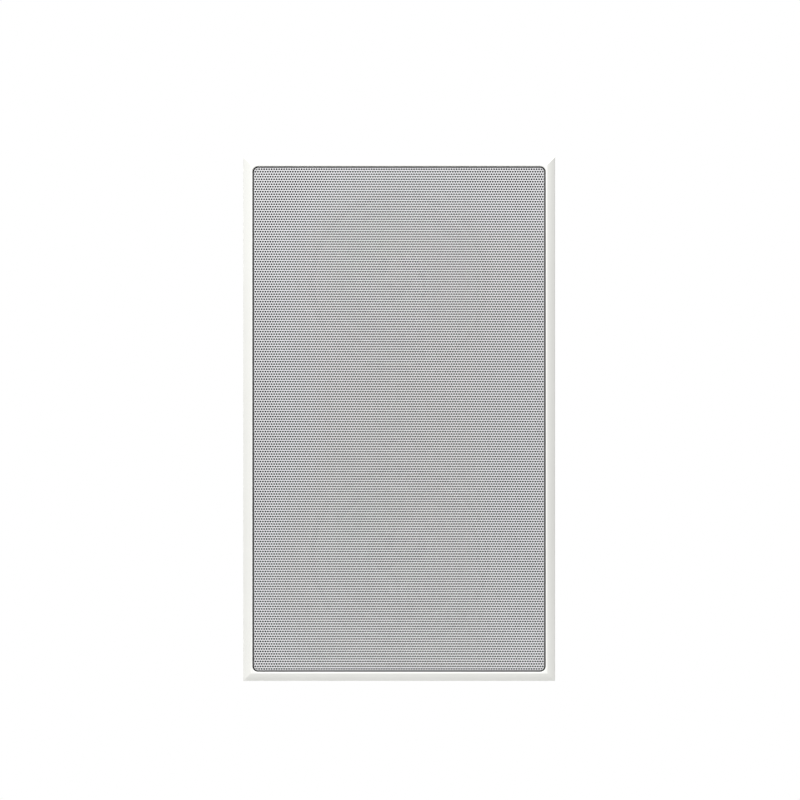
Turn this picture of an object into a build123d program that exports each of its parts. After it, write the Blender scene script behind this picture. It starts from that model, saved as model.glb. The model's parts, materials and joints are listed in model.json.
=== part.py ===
from build123d import *
import os
from math import asin, atan2, cos, degrees, floor, pi, radians, sin, sqrt

# An in-wall loudspeaker: a white moulded frame with a perforated steel grille, two woofers,
# a dome tweeter, a crossover board with spring terminals, and six swing-out wall clamps.
# Millimetres. X is right as seen from the room, Y goes into the wall and Z is up.
# The origin is the middle of the wall cut-out, in the plane of the wall's face.

# Spaces round the drivers, which set the size of the frame
tweeter_plate_radius = 28.0
driver_gap = 2.0            # between the tweeter's faceplate and each woofer's rim
end_margin = 3.4            # from a woofer's rim to the end of the tray
clamp_aisle = 28.4          # from a woofer's rim to the side of the tray

# Frame moulding
skirt_wall = 2.6
skirt_depth = 24.0
skirt_corner = 6.0
flange_overlap = 14.0       # how far the flange covers the wall round the skirt
flange_thickness = 2.6
bezel_rise = 6.0            # how far the rim stands off the wall
rim_width = 7.6
rim_side = 2.8              # height of the rim's outer side
rim_edge_round = 1.1
rim_bow = 0.45              # how far the sloping rim bows out from a straight bevel
lip_land = 1.2              # flat crest beside the grille
lip_round = 0.8
opening_corner = 4.4
ridge_wall = 1.6            # rib that the folded edge of the grille slides over
ledge_thickness = 2.4
ledge_margin = 4.0          # from a woofer's rim to the inner edge of the side ledge
gusset_thickness = 2.0
gusset_reach = 8.0
gusset_drop = 10.0
gusset_heights = (40.0, 130.0)
end_gusset_offset = 25.0

# Grille
grille_gap = 1.0            # shadow gap between the rim and the grille
grille_sheet = 0.9
grille_recess = 0.4         # front of the grille behind the crest of the rim
grille_bend = 1.0
grille_border = 2.4         # plain border beside the first perforations
grille_ridge_clearance = 0.3
hole_pitch = 2.0
hole_diameter = 1.3
rows_per_slot = 2           # rows of real holes that one slot stands for

# Baffle
baffle_front = 5.5          # its front face behind the wall's face
baffle_thickness = 3.5
baffle_clearance = 0.5
driver_rebate = 1.5
rebate_clearance = 0.3
collar_wall = 2.4
collar_height = 5.0
rib_thickness = 2.0
rib_gap = 3.0               # from the tweeter's faceplate to the cross ribs
cutout_clearance = 1.7
boss_wall = 2.0
boss_height = 7.0
pilot_clearance = 0.1
screw_hole_clearance = 0.4
baffle_screw_height = 82.0
baffle_screw_offset = 60.0

# Self-tapping screws
screw_radius = 1.75
screw_length = 11.0
screw_head_radius = 3.4
screw_head_height = 2.2
small_screw_radius = 1.3
small_screw_length = 9.0
small_head_radius = 2.4
small_head_height = 1.6
recess_depth_share = 0.6    # of the head's height
recess_width_share = 0.25   # of the head's radius
head_bow_share = 0.1        # bulge of the head's shoulder, of its height

# Woofer basket
basket_sheet = 1.5
throat_radius = 66.8
screw_land = 7.7            # rim outside the gasket, which takes the screws
throat_depth = 5.5
spider_ledge_radius = 46.5
spider_ledge_depth = 27.5
well_radius = 40.2
well_depth = 17.0
basket_bore = 21.5
window_count = 6
window_angle = 40.0
window_margin = 2.5
woofer_screw_count = 4
woofer_screw_start = 45.0

# Woofer moving system
surround_sheet = 0.7
roll_radius = 6.2           # to the middle of the surround's sheet
surround_lip = 5.5
surround_inner_lip = 4.0
gasket_thickness = 2.0
cone_sheet = 0.9
cone_depth = 20.5
cone_flare = 2.0
neck_length = 3.5
cap_radius = 23.0
cap_rise = 8.0
cap_sheet = 0.6
cap_clearance = 0.05
former_radius = 18.9
former_sheet = 0.4
winding_depth = 0.6
winding_length = 12.5
neck_clearance = 0.05
spider_sheet = 0.5
spider_wave = 0.9
spider_half_waves = 6
spider_clearance = 0.3
spider_foot_margin = 0.6    # from the wall of the well to the end of the ring glued to the ledge
spider_collar = 1.5

# Woofer motor
coil_clearance = 0.6
front_plate_thickness = 5.0
plate_radius = 42.0
plate_chamfer = 1.0
magnet_radius = 45.0
magnet_bore = 22.5
magnet_thickness = 17.0
back_plate_thickness = 6.0
vent_radius = 5.0

# Tweeter
tweeter_plate_thickness = 3.0
tweeter_cutout = 20.0
tweeter_mouth = 15.0
tweeter_horn = 22.0
tweeter_horn_depth = 2.2
tweeter_horn_bow = 0.28
tweeter_plate_round = 0.8
tweeter_screw_count = 3
tweeter_sheet = 0.3
tweeter_roll = 1.0
tweeter_roll_clearance = 0.1
tweeter_lip = 2.4
tweeter_inner_lip = 0.9
dome_radius = 11.6
dome_rise = 5.5
dome_rim = 1.1
tweeter_former_radius = 12.1
tweeter_former_sheet = 0.2
tweeter_winding_depth = 0.3
tweeter_winding_length = 3.5
tweeter_coil_length = 6.0
tweeter_coil_clearance = 0.4
pole_plate_thickness = 2.0
tweeter_magnet_radius = 11.0
tweeter_magnet_thickness = 4.0
cup_radius = 19.0
cup_mouth_depth = 2.3
cup_floor = 3.0

# Crossover board and what it carries
board_length = 120.0
board_height = 56.0
board_thickness = 1.6
board_corner = 3.0
board_standoff = 25.0
post_radius = 4.0
post_inset_x = 8.0
post_inset_z = 6.0
coil_sizes = ((-34.0, 0.0, 17.0, 18.0), (-4.0, -12.0, 12.0, 14.0))    # x, z, radius, height
bobbin_core_radius = 6.0
bobbin_bore = 2.5
bobbin_flange = 1.5
winding_inset = 1.5
winding_clearance = 0.1
capacitor_places = ((-3.0, 14.0), (27.0, -18.0))
capacitor_radius = 5.5
capacitor_length = 26.0
capacitor_round = 1.0
resistor_length = 22.0
resistor_side = 8.0
resistor_round = 0.8
resistor_post_gap = 5.0     # from the middle of a post to the resistor beside it
resistor_edge_gap = 1.0     # from the resistor to the board's edge

# Spring terminals
block_end_gap = 10.0        # from the end of the board
block_z = 6.0
block_width = 34.0
block_height = 24.0
block_depth = 16.0
block_round = 1.0
bay_spacing = 16.0
bay_width = 12.0
bay_depth = 8.0
lever_clearance = 0.3
lever_length = 10.0
lever_thickness = 3.0
lever_hub_radius = 2.4
lever_tip_radius = 2.2
lever_rest_angle = 45.0     # from straight down, out of the block
lever_travel = 25.0
pivot_height = 6.5          # above the middle of the block
pivot_inset = 4.5           # from the block's rear face
pin_radius = 1.4
pin_clearance = 0.1
pin_reach = 1.6             # into each side wall of the bay
wire_hole_radius = 2.0
wire_hole_depth = 9.0
wire_hole_drop = 9.0        # below the middle of the block

# Wall clamps
clamp_wall_gap = 8.4        # from the clamp screw's axis to the side of the tray
dog_reach = 24.0
dog_end_clearance = 4.4
dog_half_width = 5.0
dog_thickness = 7.0
dog_hub_length = 12.0
dog_tip_round = 2.0
dog_web_half_width = 1.7
dog_front_clearance = 0.4   # from the ledge when drawn right up
dog_travel = 24.0
groove_count = 3
groove_width = 1.2
groove_depth = 0.6
groove_pitch = 3.0
stop_clearance = 0.3
tower_wall = 2.0
tower_reach = 16.0
tower_overrun = 2.0         # past the rear of the stowed dog
notch_clearance = 1.0
clamp_screw_radius = 2.0
clamp_screw_overrun = 4.0   # past the rear of the stowed dog
clamp_head_radius = 4.0
clamp_head_height = 2.6
clamp_head_clearance = 1.5
insert_radius = 3.5
insert_inset = 1.0
thread_clearance = 0.05
swing_clearance = 0.05

# Frame sizes that follow from the drivers
lip_outer = throat_radius + surround_lip
woofer_rim_radius = lip_outer + screw_land
woofer_offset = tweeter_plate_radius + driver_gap + woofer_rim_radius
tray_half_width = woofer_rim_radius + clamp_aisle
tray_half_height = woofer_offset + woofer_rim_radius + end_margin
skirt_half_width = tray_half_width + skirt_wall
skirt_half_height = tray_half_height + skirt_wall
bezel_half_width = skirt_half_width + flange_overlap
bezel_half_height = skirt_half_height + flange_overlap
opening_half_width = bezel_half_width - rim_width
opening_half_height = bezel_half_height - rim_width

# Levels along Y
grille_front = grille_recess - bezel_rise
grille_back = grille_front + grille_sheet
ledge_front = baffle_front + baffle_thickness
ledge_back = ledge_front + ledge_thickness
seat = baffle_front + driver_rebate
rim_front = seat - basket_sheet
lip_front = rim_front - surround_sheet
spider_ledge = rim_front + spider_ledge_depth
well_floor = spider_ledge + well_depth
motor_front = well_floor + basket_sheet
magnet_front = motor_front + front_plate_thickness
magnet_back = magnet_front + magnet_thickness
cone_neck = rim_front + cone_depth
board_front = ledge_front + board_standoff
board_back = board_front + board_thickness
block_back = board_back + block_depth
cup_front = seat + tweeter_sheet
dome_back = cup_front + tweeter_sheet
tweeter_coil_end = dome_back + tweeter_coil_length
pole_plate_front = tweeter_coil_end - (tweeter_winding_length + pole_plate_thickness) / 2
tweeter_magnet_front = pole_plate_front + pole_plate_thickness
cup_floor_front = tweeter_magnet_front + tweeter_magnet_thickness
dog_rest = ledge_back + dog_front_clearance + dog_travel
tower_end = dog_rest + dog_hub_length + tower_overrun
clamp_screw_end = dog_rest + dog_hub_length + clamp_screw_overrun

# Radii that follow from a fit
cutout_radius = throat_radius + basket_sheet + cutout_clearance
woofer_screw_circle = (lip_outer + woofer_rim_radius) / 2
tweeter_screw_circle = (tweeter_horn + tweeter_plate_radius) / 2
former_outer = former_radius + former_sheet
winding_outer = former_outer + winding_depth
pole_radius = former_radius - coil_clearance
gap_radius = winding_outer + coil_clearance
roll_centre = throat_radius - roll_radius - surround_sheet / 2
lip_inner = roll_centre - roll_radius - surround_inner_lip
cone_edge = roll_centre - roll_radius - surround_sheet
neck_radius = former_outer + neck_clearance
tweeter_roll_centre = tweeter_mouth - tweeter_roll - tweeter_sheet / 2 - tweeter_roll_clearance
tweeter_lip_inner = tweeter_roll_centre - tweeter_roll - tweeter_inner_lip
tweeter_former_outer = tweeter_former_radius + tweeter_former_sheet
tweeter_winding_outer = tweeter_former_outer + tweeter_winding_depth
pilot_radius = screw_radius + pilot_clearance
small_pilot_radius = small_screw_radius + pilot_clearance
boss_radius = pilot_radius + boss_wall
small_boss_radius = small_pilot_radius + boss_wall
screw_hole_radius = screw_radius + screw_hole_clearance
small_screw_hole_radius = small_screw_radius + screw_hole_clearance

# Places that follow from the sizes above
block_x = board_length / 2 - block_end_gap - block_width / 2
resistor_x = board_length / 2 - post_inset_x - resistor_post_gap - resistor_length / 2
resistor_z = board_height / 2 - resistor_edge_gap - resistor_side / 2
resistor_places = ((-resistor_x, -resistor_z), (-resistor_x, resistor_z))
pivot_y = block_back - pivot_inset
pivot_z = block_z + pivot_height
bay_places = {"red": block_x - bay_spacing / 2, "black": block_x + bay_spacing / 2}
ledge_half_height = woofer_offset + cutout_radius + collar_wall + cutout_clearance
clamp_x = tray_half_width - clamp_wall_gap
clamp_z = tray_half_height - dog_reach - dog_end_clearance
clamp_heights = {"upper": clamp_z, "middle": 0.0, "lower": -clamp_z}
clamp_sides = {"right": (1, 0), "left": (-1, 180)}

# Working values
past = 1.0                  # how far a cutter runs past the face it breaks through
quarter_round = 1 - sqrt(0.5)    # bulge of a quarter circle of radius 1 from its chord
search_steps = 40


def slab(outline, front, back):
    """A sketch drawn in X and Z, made solid from y = front to y = back."""
    plane = Plane(origin=(0, back, 0), x_dir=(1, 0, 0), z_dir=(0, -1, 0))
    return extrude(plane * outline, amount=back - front, dir=(0, -1, 0))


def panel(half_width, half_height, corner):
    return RectangleRounded(2 * half_width, 2 * half_height, corner)


def disc(x, z, radius):
    return Pos(x, z) * Circle(radius)


def rods(places, radius, front, back):
    """Round bars along Y at several places, to add or to cut away."""
    return [slab(disc(x, z, radius), front, back) for x, z in places]


def circle_places(count, radius, start=0.0, height=0.0):
    """X and Z of places spread evenly round a circle."""
    turns = [radians(start + 360 * index / count) for index in range(count)]
    return [(radius * cos(turn), height + radius * sin(turn)) for turn in turns]


def lathe(*edges):
    """A closed profile of edges in radius and Y, turned about the Y axis."""
    return revolve(make_face(edges), axis=Axis.Y)


def lathe_points(*points):
    return lathe(Polyline(*points, close=True))


def ring(inner, outer, front, back):
    return slab(Circle(outer) - Circle(inner), front, back)


def bowed(start, end, bow):
    """An arc between two points that bows sideways by bow at its middle."""
    first = Vector(*start)
    last = Vector(*end)
    along = (last - first).normalized()
    middle = (first + last) / 2 + Vector(-along.Y, along.X) * bow
    return ThreePointArc(first, middle, last)


def cap_edge(radius, base, rise):
    """The arc of a dome's profile, from its base circle to its crown on the axis."""
    sphere = (radius ** 2 + rise ** 2) / (2 * rise)
    centre = base - rise + sphere
    half = asin(radius / sphere) / 2
    middle = (sphere * sin(half), centre - sphere * cos(half))
    return ThreePointArc((radius, base), middle, (0, base - rise))


def dome(radius, base, rise, sheet):
    """A thin spherical cap that bulges towards the room."""
    outer = cap_edge(radius, base, rise)
    inner = cap_edge(radius - sheet, base, rise - sheet)
    crown = Line((0, base - rise), (0, base - rise + sheet))
    foot = Line((radius - sheet, base), (radius, base))
    return [outer, crown, inner, foot]


def pan_screw(shank_radius, length, head_radius, head_height):
    """A pan-head screw along Y with the underside of its head at y = 0 and a cross recess."""
    side = head_height / 2
    crown = head_radius / 2
    body = lathe(
        Line((0, length), (0, -head_height)),
        Line((0, -head_height), (crown, -head_height)),
        bowed((crown, -head_height), (head_radius, -side), -head_height * head_bow_share),
        Line((head_radius, -side), (head_radius, 0)),
        Line((head_radius, 0), (shank_radius, 0)),
        Line((shank_radius, 0), (shank_radius, length - shank_radius)),
        Line((shank_radius, length - shank_radius), (0, length)),
    )
    recess = head_radius * recess_width_share
    cross = Rectangle(head_radius, recess) + Rectangle(recess, head_radius)
    return body - slab(cross, -head_height - past, head_height * (recess_depth_share - 1))


def both_woofers():
    return {"upper": woofer_offset, "lower": -woofer_offset}


def clamp_stations():
    """Name, x, z and half turn of each clamp. The left row is the right row turned round."""
    for side, (sign, turn) in clamp_sides.items():
        for level, height in clamp_heights.items():
            yield f"{level}_{side}", sign * clamp_x, height, turn


def clamp_places():
    return [(x, z) for _, x, z, _ in clamp_stations()]


def pillow(half_width, half_length):
    """The rim's section on both edges of a bar that is flat between them."""
    crest = half_width - rim_width + lip_land
    section = make_face([
        Line((-half_width, 0), (half_width, 0)),
        Line((half_width, 0), (half_width, -rim_side)),
        bowed((half_width, -rim_side), (crest, -bezel_rise), rim_bow),
        Line((crest, -bezel_rise), (-crest, -bezel_rise)),
        bowed((-crest, -bezel_rise), (-half_width, -rim_side), rim_bow),
        Line((-half_width, -rim_side), (-half_width, 0)),
    ])
    edges = [v for v in section.vertices() if abs(v.Y + rim_side) < rim_side / 100]
    return extrude(fillet(edges, rim_edge_round), amount=half_length, both=True)


def gusset(reach, drop):
    """A triangular web in the corner of a ledge and a wall, in X and Y with the corner at 0, 0."""
    web = make_face(Polyline((0, 0), (-reach, 0), (0, drop), close=True))
    return extrude(web, amount=gusset_thickness / 2, both=True)


def clamp_tower():
    """The L-shaped guide beside a clamp at the origin, whose dog is stowed upwards and swings to +X."""
    inner = dog_half_width + stop_clearance
    outer = inner + tower_wall
    wall_reach = clamp_wall_gap + skirt_wall / 2
    middle = -(inner + outer) / 2
    upright = Pos(middle, (tower_reach - outer) / 2) * Rectangle(tower_wall, tower_reach + outer)
    shelf = Pos((wall_reach - outer) / 2, middle) * Rectangle(wall_reach + outer, tower_wall)
    return slab(upright + shelf, ledge_back - ledge_thickness / 2, tower_end)


def skirt_notch():
    """The gap in the skirt that a swung-out dog is drawn into."""
    low = -dog_half_width - stop_clearance
    high = dog_half_width + notch_clearance
    width = skirt_wall + 2 * past
    middle = clamp_wall_gap + skirt_wall / 2
    return slab(Pos(middle, (low + high) / 2) * Rectangle(width, high - low), ledge_back, skirt_depth + past)


def at_clamp(x, z, turn):
    return Pos(x, 0, z) * Rot(0, turn, 0)


def baffle_screw_places():
    end_z = (tray_half_height + ledge_half_height) / 2
    sides = [(sx * clamp_x, sz * baffle_screw_height) for sx in (1, -1) for sz in (1, -1)]
    ends = [(sx * baffle_screw_offset, sz * end_z) for sx in (1, -1) for sz in (1, -1)]
    return sides + ends


def bezel_frame():
    bezel = pillow(bezel_half_width, bezel_half_height) & (
        Rot(0, 90, 0) * pillow(bezel_half_height, bezel_half_width)
    )
    opening = panel(opening_half_width, opening_half_height, opening_corner)
    frame = bezel - slab(opening, -bezel_rise - past, -flange_thickness)
    crest = frame.faces().filter_by(Axis.Y).sort_by(Axis.Y)[0]
    frame = fillet(crest.inner_wires()[0].edges(), lip_round)
    tray = panel(tray_half_width, tray_half_height, skirt_corner - skirt_wall)
    frame -= slab(tray, -flange_thickness - past, past)
    skirt = panel(skirt_half_width, skirt_half_height, skirt_corner)
    ridge_inset = grille_gap + grille_sheet + grille_ridge_clearance
    ridge_width = opening_half_width - ridge_inset
    ridge_height = opening_half_height - ridge_inset
    ridge_corner = opening_corner - ridge_inset
    ridge = panel(ridge_width, ridge_height, ridge_corner)
    ridge_bore = panel(ridge_width - ridge_wall, ridge_height - ridge_wall, ridge_corner)
    into_wall = skirt_wall / 2
    ledge = panel(tray_half_width + into_wall, tray_half_height + into_wall, skirt_corner - into_wall)
    well = panel(woofer_rim_radius + ledge_margin, ledge_half_height, skirt_corner)
    frame += slab(skirt - tray, -flange_thickness, skirt_depth)
    frame += slab(ridge - ridge_bore, grille_back + grille_ridge_clearance, -flange_thickness / 2)
    frame += slab(ledge - well, ledge_front, ledge_back)
    frame += [at_clamp(x, z, turn) * clamp_tower() for _, x, z, turn in clamp_stations()]
    frame += rods(baffle_screw_places(), boss_radius, ledge_front, ledge_back + boss_height)
    web = gusset(gusset_reach, gusset_drop)
    sides = [(Pos(tray_half_width, ledge_back, sz * z) * web) for z in gusset_heights for sz in (1, -1)]
    top = Rot(0, -90, 0) * web
    ends = [Pos(sx * end_gusset_offset, ledge_back, tray_half_height) * top for sx in (1, -1)]
    half = sides + ends
    frame += half + [Rot(0, 180, 0) * g for g in half]
    frame -= [at_clamp(x, z, turn) * skirt_notch() for _, x, z, turn in clamp_stations()]
    hole = clamp_screw_radius + screw_hole_clearance
    frame -= rods(clamp_places(), hole, ledge_front - past, ledge_back + past)
    pilot_end = baffle_front + screw_length + past
    frame -= rods(baffle_screw_places(), pilot_radius, ledge_front - past, pilot_end)
    return frame


def grille():
    half_width = opening_half_width - grille_gap
    half_height = opening_half_height - grille_gap
    corner = opening_corner - grille_gap
    pan = slab(panel(half_width, half_height, corner), grille_front, -flange_thickness)
    face = pan.faces().filter_by(Axis.Y).sort_by(Axis.Y)[0]
    pan = fillet(face.edges(), grille_bend)
    inside = panel(half_width - grille_sheet, half_height - grille_sheet, corner - grille_sheet)
    pan -= slab(inside, grille_back, -flange_thickness + past)
    pitch = rows_per_slot * hole_pitch
    open_area = pi / 4 * hole_diameter ** 2
    height = rows_per_slot * open_area / hole_pitch
    count = floor((2 * (half_height - grille_border) - height) / pitch) + 1
    length = 2 * (half_width - grille_border)
    slots = GridLocations(length, pitch, 1, count) * Rectangle(length, height)
    return pan - slab(Sketch() + slots, grille_front - past, grille_back + past)


def woofer_screw_places(height):
    return circle_places(woofer_screw_count, woofer_screw_circle, woofer_screw_start, height)


def tweeter_screw_places():
    return circle_places(tweeter_screw_count, tweeter_screw_circle)


def post_places():
    x = board_length / 2 - post_inset_x
    z = board_height / 2 - post_inset_z
    return [(sx * x, sz * z) for sx in (1, -1) for sz in (1, -1)]


def baffle():
    corner = skirt_corner - skirt_wall - baffle_clearance
    outline = panel(tray_half_width - baffle_clearance, tray_half_height - baffle_clearance, corner)
    plate = slab(outline, baffle_front, ledge_front)
    front = baffle_front - past
    collar_end = ledge_front + collar_height
    boss_end = ledge_front + boss_height
    rib = Rectangle(2 * woofer_rim_radius, rib_thickness)
    rib_z = tweeter_plate_radius + rib_gap
    plate += slab(disc(0, 0, tweeter_cutout + collar_wall), seat, collar_end)
    plate += rods(tweeter_screw_places(), small_boss_radius, seat, boss_end)
    plate += rods(post_places(), post_radius, seat, board_front)
    plate += [slab(Pos(0, sz * rib_z) * rib, seat, collar_end) for sz in (1, -1)]
    for height in both_woofers().values():
        plate += slab(disc(0, height, cutout_radius + collar_wall), seat, collar_end)
        plate += rods(woofer_screw_places(height), boss_radius, seat, boss_end)
    for height in both_woofers().values():
        plate -= slab(disc(0, height, woofer_rim_radius + rebate_clearance), front, seat)
        plate -= slab(disc(0, height, cutout_radius), front, boss_end + past)
        plate -= rods(woofer_screw_places(height), pilot_radius, front, boss_end + past)
    plate -= slab(disc(0, 0, tweeter_plate_radius + rebate_clearance), front, seat)
    plate -= slab(disc(0, 0, tweeter_cutout), front, boss_end + past)
    plate -= rods(tweeter_screw_places(), small_pilot_radius, front, boss_end + past)
    post_hole_end = board_back - small_screw_length - past
    plate -= rods(post_places(), small_pilot_radius, post_hole_end, board_front + past)
    plate -= rods(clamp_places(), clamp_head_radius + clamp_head_clearance, front, ledge_front + past)
    plate -= rods(baffle_screw_places(), screw_hole_radius, front, ledge_front + past)
    return plate


def basket():
    throat_end = rim_front + throat_depth
    slope = (throat_radius - spider_ledge_radius) / (spider_ledge - throat_end)
    shift = basket_sheet * sqrt(1 + slope ** 2)
    shell = lathe_points(
        (woofer_rim_radius, rim_front),
        (throat_radius, rim_front),
        (throat_radius, throat_end),
        (spider_ledge_radius, spider_ledge),
        (well_radius, spider_ledge),
        (well_radius, well_floor),
        (basket_bore, well_floor),
        (basket_bore, motor_front),
        (well_radius + basket_sheet, motor_front),
        (well_radius + basket_sheet, spider_ledge + basket_sheet),
        (spider_ledge_radius + shift - slope * basket_sheet, spider_ledge + basket_sheet),
        (throat_radius + basket_sheet, throat_end + (shift - basket_sheet) / slope),
        (throat_radius + basket_sheet, seat),
        (woofer_rim_radius, seat),
    )
    low = throat_end + window_margin
    high = spider_ledge - window_margin
    corners = ((well_radius, low), (woofer_rim_radius, low), (woofer_rim_radius, high), (well_radius, high))
    opening = make_face(Polyline(*corners, close=True))
    window = revolve(opening, axis=Axis.Y, revolution_arc=window_angle)
    shell -= [Rot(0, index * 360 / window_count, 0) * window for index in range(window_count)]
    return shell - rods(woofer_screw_places(0), screw_hole_radius, rim_front - past, seat + past)


def half_roll(centre, radius, sheet, outer, inner, front):
    """A rolled edge between two flat lips, whose front faces are at y = front."""
    back = front + sheet
    middle = front + sheet / 2
    small = radius - sheet / 2
    large = radius + sheet / 2
    foot = sqrt(large ** 2 - (sheet / 2) ** 2)
    return lathe(
        Line((outer, back), (centre + small, back)),
        Line((centre + small, back), (centre + small, middle)),
        ThreePointArc((centre + small, middle), (centre, middle - small), (centre - small, middle)),
        Line((centre - small, middle), (centre - small, back)),
        Line((centre - small, back), (inner, back)),
        Line((inner, back), (inner, front)),
        Line((inner, front), (centre - foot, front)),
        ThreePointArc((centre - foot, front), (centre, middle - large), (centre + foot, front)),
        Line((centre + foot, front), (outer, front)),
        Line((outer, front), (outer, back)),
    )


def surround():
    return half_roll(roll_centre, roll_radius, surround_sheet, lip_outer, lip_inner, lip_front)


def gasket():
    return ring(throat_radius + surround_sheet, lip_outer, lip_front - gasket_thickness, lip_front)


def cone_front_edge():
    return bowed((lip_inner, rim_front), (neck_radius, cone_neck), cone_flare)


def cone():
    slope = cone_depth / (lip_inner - neck_radius)
    shift = cone_sheet * sqrt(1 + slope ** 2)
    collar = neck_radius + cone_sheet
    neck_start = rim_front + shift + slope * (lip_inner - collar)
    neck_end = cone_neck + neck_length
    back_edge = lip_inner + (shift - cone_sheet) / slope
    return lathe(
        Line((cone_edge, rim_front), (lip_inner, rim_front)),
        cone_front_edge(),
        Line((neck_radius, cone_neck), (neck_radius, neck_end)),
        Line((neck_radius, neck_end), (collar, neck_end)),
        Line((collar, neck_end), (collar, neck_start)),
        bowed((collar, neck_start), (back_edge, rim_front + cone_sheet), -cone_flare),
        Line((back_edge, rim_front + cone_sheet), (cone_edge, rim_front + cone_sheet)),
        Line((cone_edge, rim_front + cone_sheet), (cone_edge, rim_front)),
    )


def level_on(edge, radius):
    """The Y of an edge's point at a radius, where the radius falls along the edge."""
    near, far = 0.0, 1.0
    for _ in range(search_steps):
        middle = (near + far) / 2
        if edge.position_at(middle).X > radius:
            near = middle
        else:
            far = middle
    return edge.position_at(near).Y


def dust_cap():
    base = level_on(cone_front_edge(), cap_radius) - cap_clearance
    return lathe(*dome(cap_radius, base, cap_rise, cap_sheet))


def voice_coil():
    middle = motor_front + front_plate_thickness / 2
    start = middle - winding_length / 2
    end = middle + winding_length / 2
    front = cone_neck - former_sheet
    return lathe_points(
        (former_radius, front), (former_outer, front), (former_outer, start),
        (winding_outer, start), (winding_outer, end), (former_radius, end),
    )


def spider():
    outer = spider_ledge_radius - spider_clearance
    wave_outer = well_radius + spider_foot_margin
    inner = former_outer + spider_clearance
    wave_inner = inner + spider_collar
    front = spider_ledge - spider_sheet
    step = (wave_outer - wave_inner) / spider_half_waves
    edge = [Line((outer, front), (wave_outer, front))]
    for index in range(spider_half_waves):
        start = wave_outer - index * step
        edge.append(bowed((start, front), (start - step, front), spider_wave * (-1) ** index))
    edge.append(Line((wave_inner, front), (inner, front)))
    rear = [Pos(0, spider_sheet) * line for line in edge]
    ends = [Line((radius, front), (radius, spider_ledge)) for radius in (outer, inner)]
    return lathe(*edge, *rear, *ends)


def turned_ring(inner, outer, front, back):
    """A ring with its two outer edges chamfered."""
    c = plate_chamfer
    return lathe_points(
        (inner, front), (outer - c, front), (outer, front + c),
        (outer, back - c), (outer - c, back), (inner, back),
    )


def front_plate():
    return turned_ring(gap_radius, plate_radius, motor_front, magnet_front)


def magnet():
    return turned_ring(magnet_bore, magnet_radius, magnet_front, magnet_back)


def yoke():
    plate = turned_ring(vent_radius, plate_radius, magnet_back, magnet_back + back_plate_thickness)
    return plate + ring(vent_radius, pole_radius, motor_front, magnet_back)


def tweeter_faceplate():
    front = seat - tweeter_plate_thickness
    edge = tweeter_plate_radius - tweeter_plate_round
    side = front + tweeter_plate_round
    throat = front + tweeter_horn_depth
    plate = lathe(
        Line((tweeter_plate_radius, seat), (tweeter_plate_radius, side)),
        bowed((tweeter_plate_radius, side), (edge, front), quarter_round * tweeter_plate_round),
        Line((edge, front), (tweeter_horn, front)),
        bowed((tweeter_horn, front), (tweeter_mouth, throat), tweeter_horn_bow),
        Line((tweeter_mouth, throat), (tweeter_mouth, seat)),
        Line((tweeter_mouth, seat), (tweeter_plate_radius, seat)),
    )
    return plate - rods(tweeter_screw_places(), small_screw_hole_radius, front - past, seat + past)


def tweeter_surround():
    outer = tweeter_mouth + tweeter_lip
    return half_roll(tweeter_roll_centre, tweeter_roll, tweeter_sheet, outer, tweeter_lip_inner, seat)


def tweeter_dome():
    cap = lathe(*dome(dome_radius, dome_back, dome_rise, tweeter_sheet))
    return cap + ring(dome_radius - tweeter_sheet, dome_radius + dome_rim, cup_front, dome_back)


def tweeter_voice_coil():
    start = tweeter_coil_end - tweeter_winding_length
    return lathe_points(
        (tweeter_former_radius, dome_back), (tweeter_former_outer, dome_back), (tweeter_former_outer, start),
        (tweeter_winding_outer, start), (tweeter_winding_outer, tweeter_coil_end),
        (tweeter_former_radius, tweeter_coil_end),
    )


def tweeter_pole_plate():
    radius = tweeter_former_radius - tweeter_coil_clearance
    return slab(Circle(radius), pole_plate_front, tweeter_magnet_front)


def tweeter_magnet():
    return slab(Circle(tweeter_magnet_radius), tweeter_magnet_front, cup_floor_front)


def tweeter_cup():
    gap = tweeter_winding_outer + tweeter_coil_clearance
    shelf = cup_front + cup_mouth_depth
    back = cup_floor_front + cup_floor
    c = plate_chamfer
    return lathe_points(
        (0, back), (cup_radius - c, back), (cup_radius, back - c), (cup_radius, cup_front),
        (tweeter_mouth, cup_front), (tweeter_mouth, shelf), (gap, shelf),
        (gap, cup_floor_front), (0, cup_floor_front),
    )


def board():
    outline = panel(board_length / 2, board_height / 2, board_corner)
    holes = rods(post_places(), small_screw_hole_radius, board_front - past, board_back + past)
    return slab(outline, board_front, board_back) - holes


def bobbin(radius, height):
    """A flanged reel that stands on the board, at the origin."""
    end = board_back + height
    return lathe_points(
        (bobbin_bore, board_back), (radius, board_back), (radius, board_back + bobbin_flange),
        (bobbin_core_radius, board_back + bobbin_flange), (bobbin_core_radius, end - bobbin_flange),
        (radius, end - bobbin_flange), (radius, end), (bobbin_bore, end),
    )


def winding(radius, height):
    front = board_back + bobbin_flange
    back = board_back + height - bobbin_flange
    return ring(bobbin_core_radius + winding_clearance, radius - winding_inset, front, back)


def capacitor():
    can = Rot(0, 90, 0) * Cylinder(capacitor_radius, capacitor_length)
    can = fillet(can.edges().filter_by(GeomType.CIRCLE), capacitor_round)
    return Pos(0, board_back + capacitor_radius, 0) * can


def resistor():
    body = Box(resistor_length, resistor_side, resistor_side)
    body = fillet(body.edges().filter_by(Axis.Y), resistor_round)
    return Pos(0, board_back + resistor_side / 2, 0) * body


def lever_tip(angle):
    """Where the tip of a lever at an angle from straight down lies, as Y and Z from its pivot."""
    return lever_length * sin(radians(angle)), -lever_length * cos(radians(angle))


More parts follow.
